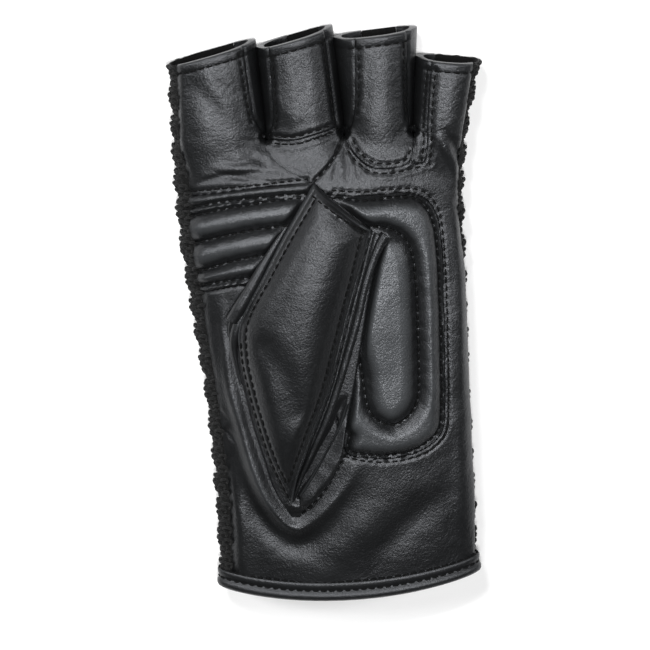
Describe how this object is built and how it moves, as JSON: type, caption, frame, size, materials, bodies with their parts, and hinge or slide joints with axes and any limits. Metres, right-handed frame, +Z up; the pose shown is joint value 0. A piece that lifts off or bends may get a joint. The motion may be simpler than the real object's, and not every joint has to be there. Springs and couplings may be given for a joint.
{
  "type": "wheelchair glove",
  "caption": "Fingerless leather and knit glove with a quilted palm, an open thumb folded over the palm and a strap tab on the back.",
  "frame": {"origin": "centre of the bounding box in plan, on the surface that the glove lies on", "axes": "+Z up out of the palm, +Y from the wrist to the fingers, thumb side at -X"},
  "size_m": [0.1021, 0.1914, 0.0326],
  "materials": {
    "leather": "satin",
    "strap_leather": "satin",
    "knit": "matte",
    "loop_tape": "matte",
    "thread": "matte"
  },
  "bodies": {
    "root": {"knit_back": "knit", "index_front": "leather", "middle_front": "leather", "ring_front": "leather", "palm_triangle": "leather", "palm_main": "leather", "palm_pad": "leather", "thumb_front": "leather", "thumb_back": "leather", "fourchette_index_middle": "leather", "fourchette_middle_ring": "leather", "fourchette_ring_little": "leather", "cuff_binding": "leather", "closure_binding": "strap_leather", "closure_tongue": "strap_leather", "loop_strip": "loop_tape", "closure_tab": "strap_leather"}
  },
  "joints": []
}
